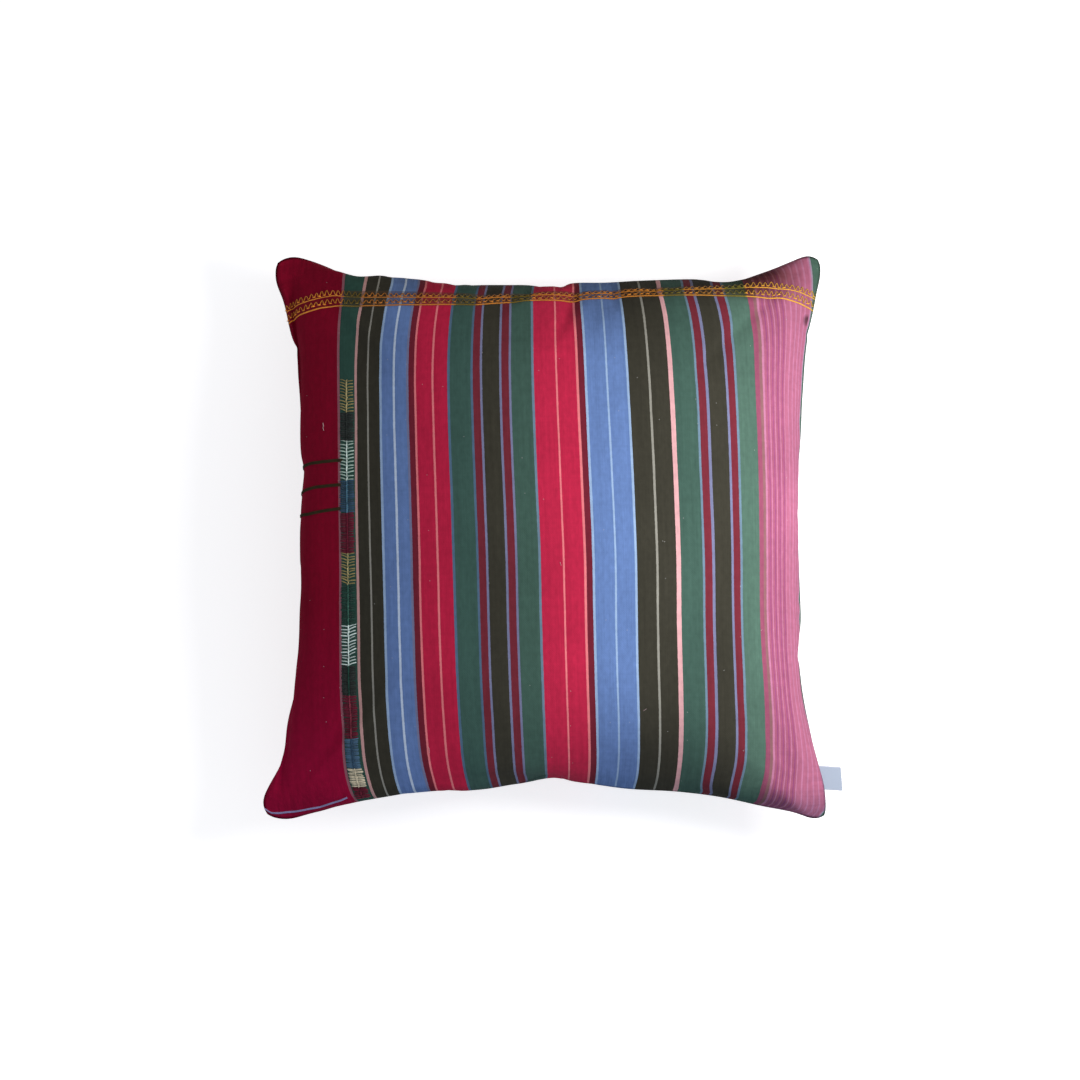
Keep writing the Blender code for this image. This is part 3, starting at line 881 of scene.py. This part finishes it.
def new_tree(name, **inputs):
    """A geometry tree with its named inputs; a seed is whole and a material has no default."""
    tree = bpy.data.node_groups.new(name, "GeometryNodeTree")
    new = tree.interface.new_socket
    new("Geometry", in_out="INPUT", socket_type="NodeSocketGeometry")
    for label, value in inputs.items():
        kind = {float: "Float", int: "Int", type(None): "Material"}[type(value)]
        socket = new(label, in_out="INPUT", socket_type="NodeSocket" + kind)
        if value is not None:
            socket.default_value = value
    new("Geometry", in_out="OUTPUT", socket_type="NodeSocketGeometry")
    given = tree.nodes.new("NodeGroupInput").outputs
    return tree, {socket.name: socket for socket in given if socket.name}


def end_tree(tree, material, *parts):
    """Joins the parts of a tree, makes them real and gives them their material."""
    joined = put(tree, "GeometryNodeJoinGeometry")
    for part in parts:
        tree.links.new(part, joined.inputs[0])
    real = put(tree, "GeometryNodeRealizeInstances", joined.outputs[0])
    smooth = put(tree, "GeometryNodeSetShadeSmooth", real.outputs[0])
    dressed = put(tree, "GeometryNodeSetMaterial", smooth.outputs[0], Material=material)
    put(tree, "NodeGroupOutput", dressed.outputs[0])


def thread_along(tree, curve, thickness, sides=6):
    """A curve given a round thread's body."""
    radius = times(tree, thickness, 0.5)
    round_end = put(tree, "GeometryNodeCurvePrimitiveCircle", sides, Radius=radius).outputs[0]
    body = put(tree, "GeometryNodeCurveToMesh", curve, round_end, Fill_Caps=True)
    return body.outputs[0]


def at(tree, x, y, z):
    return put(tree, "ShaderNodeCombineXYZ", x, y, z).outputs[0]


def bent_thread(tree, thickness, resolution, start, middle, end):
    """A short thread bent from its start past a middle point to its end."""
    bend = put(tree, "GeometryNodeCurveQuadraticBezier", resolution, start, middle, end)
    return thread_along(tree, bend.outputs[0], thickness)


def drawn(tree, seed, low, high):
    """A seeded random draw for each part, between two numbers or two vectors."""
    if isinstance(low, tuple):
        kind, limits, k = "FLOAT_VECTOR", (low, high), 0
    else:
        kind, limits, k = "FLOAT", (None, None, low, high), 1
    return put(tree, "FunctionNodeRandomValue", *limits, data_type=kind, Seed=seed).outputs[k]


def toned(tree, parts, tone, domain="POINT"):
    """Stores on each part the tone that its thread's material reads."""
    return put(
        tree, "GeometryNodeStoreNamedAttribute", parts, domain=domain, data_type="FLOAT",
        Name="tone", Value=tone,
    ).outputs[0]


def strewn(tree, points, instance, seed, turn, size):
    """One instance at each point, each turned, sized and toned a little differently."""
    placed = put(
        tree, "GeometryNodeInstanceOnPoints", points, None, instance,
        Rotation=drawn(tree, seed, (0, 0, -turn), (0, 0, turn)),
        Scale=drawn(tree, seed, 1 - size, 1 + size),
    )
    return toned(tree, placed.outputs[0], drawn(tree, seed, *TONES), "INSTANCE")


def points_along(tree, path, pitch):
    curve = put(tree, "GeometryNodeMeshToCurve", path).outputs[0]
    return put(tree, "GeometryNodeResampleCurve", curve, mode="LENGTH", Length=pitch).outputs[0]


def fishbone_strokes():
    """Strokes from both sides of a path to its spine, one pair at every pitch."""
    tree, given = new_tree(
        "fishbone strokes", Pitch=0.0027, LeftReach=0.0068, RightReach=0.0066, LeftRise=0.001,
        RightRise=0.001, Thread=0.001, Seed=1, Material=None,
    )
    path = points_along(tree, given["Geometry"], given["Pitch"])
    sides = []
    for side, way in (("Left", -1.0), ("Right", 1.0)):
        reach, rise = given[side + "Reach"], given[side + "Rise"]
        start = at(tree, times(tree, reach, way), rise, STITCH_SINK)
        middle_x = times(tree, reach, way * 0.55)
        middle = at(tree, middle_x, times(tree, rise, 0.75), STITCH_LIFT * 2)
        end = (0.0002 * way, 0.0, STITCH_SINK)
        stroke = bent_thread(tree, given["Thread"], 6, start, middle, end)
        sides.append(strewn(tree, path, stroke, given["Seed"], 0.1, 0.08))
    end_tree(tree, given["Material"], *sides)
    return tree


def spine_links():
    """Short links along a path, which lock the inner ends of the strokes."""
    tree, given = new_tree("spine links", Pitch=0.0027, Thread=0.001, Seed=1, Material=None)
    path = points_along(tree, given["Geometry"], given["Pitch"])
    half = times(tree, given["Pitch"], 0.7)
    start, middle = at(tree, 0.0004, half, STITCH_SINK), (0.0, 0.0, STITCH_LIFT * 2.6)
    end = at(tree, -0.0003, times(tree, half, -1.0), STITCH_SINK)
    link = bent_thread(tree, given["Thread"], 4, start, middle, end)
    end_tree(tree, given["Material"], strewn(tree, path, link, given["Seed"], 0.25, 0.12))
    return tree


def spun_group():
    """Spun thread: fine slanting relief of its plies."""
    group = new_group("spun thread", ("Relief",))
    place = group.nodes.new("NodeGroupInput").outputs[0]
    slant = (2600.0, 3400.0, 1800.0)
    slanted = put(group, "ShaderNodeVectorMath", place, slant, operation="DOT_PRODUCT")
    ply = sum_of(group, "SINE", slanted.outputs["Value"])
    fibres = put(group, "ShaderNodeTexNoise", place, None, 1400.0, 2.0).outputs[0]
    put(group, "NodeGroupOutput", sum_of(group, "MULTIPLY_ADD", ply, 0.5, fibres))
    return group


SPUN = spun_group()


def spun_material(name, colour, surface, mottle, relief, toned_parts=True):
    """A spun thread or yarn. Its surface is roughness and sheen, its mottle is grains a
    metre, detail and range, and its relief is the strength and depth of its plies."""
    material, tree, shader = new_material(name, *surface)
    place = put(tree, "ShaderNodeTexCoord").outputs["Object"]
    grains, detail, *limits = mottle
    grain = put(tree, "ShaderNodeTexNoise", place, None, grains, detail).outputs[0]
    level = spread(tree, grain, *limits)
    if toned_parts:
        tone = put(tree, "ShaderNodeAttribute", attribute_name="tone").outputs["Fac"]
        level = times(tree, tone, level)
    give(tree, shader.inputs["Base Color"], shaded(tree, colour_of(*colour)[:3], level))
    plies = put(tree, "ShaderNodeGroup", place, node_tree=SPUN).outputs[0]
    give(tree, shader.inputs["Normal"], raised(tree, plies, *relief))
    return material


def thread_material(name, colour, sheen=0.15):
    """Embroidery cotton: a soft gleam, its plies, and a tone that varies stitch by stitch."""
    return spun_material(name, colour, (0.72, sheen), (300.0, 2.0, 0.8, 1.2), (0.6, 0.12 * MM))


def joined(pieces, name):
    """One object from several, with all their materials."""
    first = pieces[0]
    with bpy.context.temp_override(active_object=first, selected_editable_objects=pieces):
        bpy.ops.object.join()
    first.name = first.data.name = name
    return first


strokes_tree, links_tree = fishbone_strokes(), spine_links()
thread_kinds = {name: thread_material(name + " thread", shade) for name, shade in THREADS.items()}
blocks = []
for number, row in enumerate(STITCH_BLOCKS):
    foot_up, top_up, pitch, left, right, rise_left, rise_right, thread, shade, spine = row
    steps = np.linspace(foot_up + thread / 2, top_up - thread / 2, 9)
    path = [(across_cut(SPINE_AT * MM, up * MM), up * MM, 0.0) for up in steps]
    blocks.append(worked(
        f"strokes_{number}", path, strokes_tree, Pitch=pitch * MM, LeftReach=left * MM,
        RightReach=right * MM, LeftRise=rise_left * MM, RightRise=rise_right * MM,
        Thread=thread * MM, Seed=number, Material=thread_kinds[shade],
    ))
    # A spine paler than its strokes carries a painted highlight.
    blocks.append(worked(
        f"spine_{number}", path, links_tree, Pitch=pitch * MM, Thread=thread * 0.9 * MM,
        Seed=number + 50, Material=thread_kinds[spine],
    ))
fishbone = joined(blocks, "fishbone_stitches")
lay_on_cover(fishbone)
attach(fishbone, "root")


# Embroidered border. Orange cotton worked over the top of the panel: two laid lines, each
# with a row of herringbone above it, whose lower crossings are caught down with a stitch.
BORDER_LINE = 10.3
# Between the ears the stitches lie closer. Columns: across the cut (mm), share of the height.
BORDER_SQUEEZE = ((0, 1.0), (66, 1.0), (90, 0.82), (385, 0.82), (430, 1.0), (500, 1.0))
ZIGZAG_ROWS = ((5.0, 4.2), (13.8, 4.4))
ZIGZAG_PITCH = 5.4
BORDER_THREAD = 0.76
BORDER_ORANGE = (226, 140, 46)
GILT = (0.8, 1.2, 1.05, 1.0)
DULLED = (0.3, 0.56, 0.4, 1.0)
HAND_SHAKE = 0.0005


def laid_thread():
    """One thread laid along a path, slightly wavering as a hand lays it."""
    tree, given = new_tree("laid thread", Thread=0.0016, Waver=0.0003, Material=None)
    path = points_along(tree, given["Geometry"], 0.002)
    wave = put(tree, "ShaderNodeTexNoise", None, None, 120.0, 1.0).outputs["Color"]
    wave = put(tree, "ShaderNodeVectorMath", wave, (0.5, 0.5, 0.5), operation="SUBTRACT")
    offset = shaded(tree, wave.outputs[0], given["Waver"])
    moved = put(tree, "GeometryNodeSetPosition", path, Offset=offset).outputs[0]
    body = thread_along(tree, moved, given["Thread"], 8)
    end_tree(tree, given["Material"], toned(tree, body, 1.0))
    return tree


def herringbone_row():
    """A thread that runs up and down beside a path, with a tie at each lower turn."""
    tree, given = new_tree(
        "herringbone row", Pitch=0.0054, Rise=0.0042, Thread=0.001, Seed=1, Material=None
    )
    path = points_along(tree, given["Geometry"], times(tree, given["Pitch"], 0.5))
    index = put(tree, "GeometryNodeInputIndex").outputs[0]
    odd = sum_of(tree, "FLOORED_MODULO", index, 2.0)
    swing = times(tree, sum_of(tree, "SUBTRACT", odd, 0.5), given["Rise"])
    far = (HAND_SHAKE, HAND_SHAKE, 0.0)
    shake = drawn(tree, given["Seed"], tuple(-value for value in far), far)
    shift = put(tree, "ShaderNodeVectorMath", at(tree, 0.0, swing, 0.0), shake, operation="ADD")
    zigzag = put(tree, "GeometryNodeSetPosition", path, Offset=shift.outputs[0]).outputs[0]
    softened = put(tree, "GeometryNodeCurveSplineType", zigzag, spline_type="CATMULL_ROM")
    fine = put(tree, "GeometryNodeSetSplineResolution", softened.outputs[0], Resolution=5)
    body = thread_along(tree, fine.outputs[0], given["Thread"])
    start, end = (-0.0013, 0.0005, -0.0003), (0.0013, 0.0005, -0.0003)
    tie = bent_thread(tree, given["Thread"], 4, start, (0.0, -0.0003, 0.0019), end)
    turns = put(tree, "GeometryNodeCurveToPoints", zigzag, mode="EVALUATED").outputs[0]
    low = put(tree, "FunctionNodeCompare", odd, 0.5, data_type="FLOAT", operation="LESS_THAN")
    lower = put(tree, "GeometryNodeSeparateGeometry", turns, low.outputs[0], domain="POINT")
    ties = strewn(tree, lower.outputs[0], tie, given["Seed"], 0.3, 0.2)
    end_tree(tree, given["Material"], toned(tree, body, 0.72), ties)
    return tree


def border_path(height):
    """The border's path this far above its foot, over the whole width of the cut."""
    return [
        (float(x), float(np.interp(x, foot[:, 0], foot[:, 1]) + height * MM), 0.35 * MM)
        for x in np.linspace(0.001, CUT - 0.001, 120)
    ]


def border_cotton():
    """Orange embroidery cotton, duller and greener where it lies on the green stripes."""
    material = thread_material("border_cotton", BORDER_ORANGE, 0.2)
    tree = material.node_tree
    base = tree.nodes["Principled BSDF"].inputs["Base Color"]
    colour = base.links[0].from_socket
    place = put(tree, "ShaderNodeTexCoord").outputs["Object"]
    to_right = put(tree, "ShaderNodeSeparateXYZ", place).outputs[0]
    gilt = ramped(tree, to_right, 0.06, 0.22, 0.0, 1.0)
    colour = blended(tree, gilt, colour, GILT, "MULTIPLY")
    from_middle = sum_of(tree, "ABSOLUTE", to_right)
    colour = shaded(tree, colour, ramped(tree, from_middle, 0.15, 0.2, 0.72, 1.3))
    dulled = put(tree, "ShaderNodeAttribute", attribute_name="dulled").outputs["Fac"]
    give(tree, base, blended(tree, dulled, colour, DULLED, "MULTIPLY"))
    return material


line_tree, row_tree = laid_thread(), herringbone_row()
orange = border_cotton()


def laid(name, path, thickness, waver, material):
    """A thread laid along a path, its thickness and waver in mm."""
    return worked(
        name, path, line_tree, Thread=thickness * MM, Waver=waver * MM, Material=material
    )


rows = [
    laid("foot_line", border_path(0), 1.15, 0.5, orange),
    laid("middle_line", border_path(BORDER_LINE), 0.85, 0.5, orange),
]
for number, (height, rise) in enumerate(ZIGZAG_ROWS):
    rows.append(worked(
        f"herringbone_{number}", border_path(height), row_tree, Pitch=ZIGZAG_PITCH * MM,
        Rise=rise * MM, Thread=BORDER_THREAD * MM, Seed=number + 3, Material=orange,
    ))
border = joined(rows, "embroidered_border")
flat_at = vectors_of(border.data, "position")
squeeze = np.interp(flat_at[:, 0], *(np.array(BORDER_SQUEEZE).T * [[MM], [1]]))
foot_at = np.interp(flat_at[:, 0], foot[:, 0], foot[:, 1])
flat_at[:, 1] = foot_at + (flat_at[:, 1] - foot_at) * squeeze
move_to(border.data, flat_at)
cells_at = np.rint(flat_at[:, :2].T / CUT * PANEL_CELLS).astype(int)
column_at, row_at = np.clip(cells_at, 0, PANEL_CELLS)
dye_at = np.searchsorted(STRIPE_EDGES, weave_across[column_at, row_at]) - 1
dye_at = np.clip(dye_at, 0, len(STRIPES) - 1)
dull_dyes = np.array([name.startswith(("green", "bottle", "steel")) for name, _ in STRIPES])
dulled = border.data.attributes.new("dulled", "FLOAT", "POINT")
dulled.data.foreach_set("value", dull_dyes[dye_at].astype(np.float32))
lay_on_cover(border)
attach(border, "root")


# Weft yarns. Thick yarns that the weaver laid in across the red strip: three of dark olive
# wool half way up its side, and a lavender one near its foot.
YARN_PATHS = (
    ((-1, 302.9), (5, 303.6), (20, 304.6), (40, 306.4), (67, 306.9), (72.0, 306.6)),
    ((-1, 278.0), (6, 279.8), (19, 282.0), (45, 284.8), (68, 285.4), (71.5, 285.2)),
    ((-1, 264.6), (8, 263.0), (37, 261.8), (55, 263.6), (69, 264.6), (71.5, 264.8)),
)
LAVENDER_PATH = ((0, 6.1), (5, 3.5), (19, 5.8), (32, 5.6), (51, 6.9), (70, 12.0), (76, 14.4))
OLIVE_WOOL = (64, 54, 36)
LAVENDER_WOOL = (156, 150, 196)
STRAND_APART = 0.62


def wool_material(name, colour):
    """Wool yarn: rough, slightly hairy, darker and lighter along its length."""
    return spun_material(name, colour, (0.95, 0.0), (160.0, 3.0, 0.6, 1.4), (0.8, 0.2 * MM), False)


def yarn_path(path, up=0.0):
    """A yarn's way over the red strip, moved up by this many mm."""
    return [(max(x, 0.1) * MM, (y + up) * MM, 0.1 * MM) for x, y in path]


olive = wool_material("olive_wool", OLIVE_WOOL)
lavender = wool_material("lavender_wool", LAVENDER_WOOL)
yarns = []
for number, path in enumerate(YARN_PATHS):
    for up in (-STRAND_APART, STRAND_APART):
        yarns.append(laid(f"yarn_{number}_{up}", yarn_path(path, up), 1.5, 0.3, olive))
yarns.append(laid("yarn_lavender", yarn_path(LAVENDER_PATH), 1.7, 0.3, lavender))
weft = joined(yarns, "weft_yarns")
lay_on_cover(weft)
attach(weft, "root")


# Loose lint. Short pale fibres that cling to the cotton, the largest on the red strip.
LINT_PATHS = (
    ((52.2, 341.0), (52.6, 338.6), (52.2, 336.0), (53.2, 334.2)),
    ((405.0, 410.0), (405.8, 408.6)),
    ((150.0, 60.0), (151.5, 57.0), (151.0, 54.0)),
    ((333.0, 90.0), (335.5, 92.0)),
    ((262.0, 215.0), (263.0, 212.0)),
    ((436.0, 160.0), (437.6, 161.2)),
)
pale = thread_material("lint_fibre", (206, 176, 178), 0.3)
fibres = []
for number, path in enumerate(LINT_PATHS):
    turns = [(x * MM, y * MM, 0.35 * MM) for x, y in path]
    fibres.append(laid(f"fibre_{number}", turns, 0.24 if number else 0.5, 0.4, pale))
lint = joined(fibres, "loose_lint")
lay_on_cover(lint)
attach(lint, "root")


# Ribbon label. A short piece of pale satin ribbon, folded double, its ends caught in the
# right-hand seam near the lower corner. Its printed mark is left off, so it is bare.
RIBBON_WIDE = 20.6 * MM
RIBBON_THICK = 0.22 * MM
PLY_GAP = 0.16 * MM
RIBBON_TILT = math.radians(3.5)
RIBBON_CELLS = 28
RIBBON_DROOP = 1.4 * MM
RIBBON_CURL = 0.5 * MM
RIBBON_THREADS = 3200.0
SELVEDGE = 0.9 * MM
RIBBON_SHADE = (168, 179, 196)
SELVEDGE_SHADE = (197, 203, 217)


def folded_ribbon():
    """A ribbon folded over at its outer end, as one sheet with both faces and its edges."""
    low, high = (np.array(corner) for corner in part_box("side_label"))
    middle_y, middle_z = (low[1] + high[1]) / 2, (low[2] + high[2]) / 2
    reach = high[0] - low[0] - 0.5 * MM
    half_gap = (PLY_GAP + RIBBON_THICK) / 2
    straight = reach - half_gap
    length = 2 * straight + math.pi * half_gap
    stations = np.linspace(0, length, 2 * RIBBON_CELLS + 1)
    shares = np.arange(RIBBON_CELLS + 1) / RIBBON_CELLS
    station, share = np.meshgrid(stations, shares, indexing="ij")
    wide = (share - 0.5) * RIBBON_WIDE
    turn = np.clip((station - straight) / half_gap, 0, math.pi)
    faces_at = []
    for face_side in (1, -1):
        radius = half_gap + face_side * RIBBON_THICK / 2
        out = np.where(station > length / 2, length - station, station)
        out = np.where((turn > 0) & (turn < math.pi), straight + radius * np.sin(turn), out)
        curl = RIBBON_CURL * np.sin(out / reach * 2.4) * (share - 0.5)
        x = low[0] + 0.3 * MM + out - wide * math.tan(RIBBON_TILT)
        y = middle_y + wide - out * math.tan(RIBBON_TILT)
        z = middle_z + 0.5 * MM + radius * np.cos(turn) - RIBBON_DROOP * (out / reach) ** 2 + curl
        faces_at.append(np.stack([x, y, z], -1).reshape(-1, 3))
    upper, lower = np.arange(2 * station.size).reshape(2, *station.shape)
    quads = [
        (upper[:-1, :-1], upper[1:, :-1], upper[1:, 1:], upper[:-1, 1:]),
        (lower[:-1, :-1], lower[:-1, 1:], lower[1:, 1:], lower[1:, :-1]),
        (upper[:-1, 0], lower[:-1, 0], lower[1:, 0], upper[1:, 0]),
        (upper[1:, -1], lower[1:, -1], lower[:-1, -1], upper[:-1, -1]),
        (upper[0, :-1], upper[0, 1:], lower[0, 1:], lower[0, :-1]),
        (lower[-1, :-1], lower[-1, 1:], upper[-1, 1:], upper[-1, :-1]),
    ]
    faces = np.concatenate([np.stack(corners, -1).reshape(-1, 4) for corners in quads])
    mesh = mesh_of("ribbon_label", np.concatenate(faces_at).tolist(), faces.tolist())
    ribbon_map = mesh.uv_layers.new(name="ribbon_map")
    flat = np.tile(np.stack([share * RIBBON_WIDE, station], -1).reshape(-1, 2), (2, 1))
    ribbon_map.uv.foreach_set("vector", flat[faces.ravel()].astype(np.float32).ravel())
    mesh.shade_smooth()
    return mesh


def ribbon_satin():
    """Pale blue-white satin ribbon with fine ribs and a woven edge."""
    material, tree, shader = new_material("ribbon_satin", 0.5, 0.1)
    mapped, relief, shade = mapped_weave(tree, "ribbon_map", RIBBON_THREADS)
    across_ribbon = put(tree, "ShaderNodeSeparateXYZ", mapped).outputs[0]
    to_edge = from_edge(tree, across_ribbon, RIBBON_WIDE)
    edge = times(tree, sum_of(tree, "LESS_THAN", to_edge, SELVEDGE), 0.5)
    colour = shaded(tree, colour_of(*RIBBON_SHADE)[:3], spread(tree, shade, 0.96, 1.03))
    colour = blended(tree, edge, colour, colour_of(*SELVEDGE_SHADE))
    give(tree, shader.inputs["Base Color"], colour)
    give(tree, shader.inputs["Normal"], raised(tree, relief, 0.5, 0.06 * MM))
    return material


label = added("ribbon_label", folded_ribbon())
label.data.materials.append(ribbon_satin())
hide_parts("side_label")
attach(label, "root")


# Stage: a pale floor, a wide soft light low on the right, and the photograph's camera.
FLOOR_GLOW = 0.66
FLOOR_CORNERS = [(-6, -6, 0), (6, -6, 0), (6, 6, 0), (-6, 6, 0)]
WARM_SKY = (0.86, 0.78, 0.68, 1.0)
COOL_SKY = (0.9, 1.03, 1.27, 1.0)
SKY_LEVEL = 0.38
floor = added("floor", mesh_of("floor", FLOOR_CORNERS, [(0, 1, 2, 3)]))
floor.location.z = -0.5 * MM
floor_material, floor_tree, floor_shader = new_material("floor_paint", 0.9, 0.0)
floor_grain = put(floor_tree, "ShaderNodeTexNoise", None, None, 3.0, 2.0).outputs[0]
give(floor_tree, floor_shader.inputs["Base Color"], spread(floor_tree, floor_grain, 0.93, 0.96))
seen = put(floor_tree, "ShaderNodeLightPath").outputs["Is Camera Ray"]
floor_shader.inputs["Emission Color"].default_value = (1, 1, 1, 1)
give(floor_tree, floor_shader.inputs["Emission Strength"], times(floor_tree, seen, FLOOR_GLOW))
floor.data.materials.append(floor_material)

world = bpy.context.scene.world or bpy.data.worlds.new("studio")
bpy.context.scene.world = world
world.use_nodes = True
sky_tree = world.node_tree
way = put(sky_tree, "ShaderNodeTexCoord").outputs["Generated"]
from_window = put(sky_tree, "ShaderNodeSeparateXYZ", way).outputs[1]
cool_share = ramped(sky_tree, from_window, 1.0, -1.0, 0.0, 1.0)
sky = sky_tree.nodes["Background"]
give(sky_tree, sky.inputs[0], blended(sky_tree, cool_share, WARM_SKY, COOL_SKY))
sky.inputs[1].default_value = SKY_LEVEL


def turned_to(place, aim):
    """A rotation that points a light or camera at its aim."""
    return Vector(np.array(aim) - np.array(place)).to_track_quat("-Z", "Y").to_euler()


lamp = bpy.data.lights.new("soft_lamp", "AREA")
lamp.shape = "RECTANGLE"
lamp.size, lamp.size_y = 0.3, 0.3
lamp.energy = 3.55
lamp.color = (1.0, 0.99, 0.98)
soft_lamp = added("soft_lamp", lamp)
soft_lamp.location = (0.42, 0.01, 0.54)
soft_lamp.rotation_euler = turned_to(soft_lamp.location, (0.08, 0.0, 0.1))
soft_lamp.visible_camera = False

CAMERA_DISTANCE = 1.9
CAMERA_TILT = math.radians(83)
PIXEL = 0.882 * MM
FRAME_PIXELS = 1080
SENSOR = 36.0
AIM = np.array((0.0, 0.0, 77 * MM))
looking = np.array((0.0, math.cos(CAMERA_TILT), -math.sin(CAMERA_TILT)))
camera_up = np.array((0.0, math.sin(CAMERA_TILT), math.cos(CAMERA_TILT)))
aim_right, aim_above = 12.0 * PIXEL, 6.6 * PIXEL
lens_data = bpy.data.cameras.new("camera")
lens_data.sensor_width = SENSOR
lens_data.lens = SENSOR * CAMERA_DISTANCE / (PIXEL * FRAME_PIXELS)
camera = added("camera", lens_data)
camera.location = AIM - looking * CAMERA_DISTANCE - (aim_right, 0, 0) - camera_up * aim_above
camera.rotation_euler = turned_to((0, 0, 0), looking)
bpy.context.scene.camera = camera
bpy.context.scene.view_settings.view_transform = "Standard"
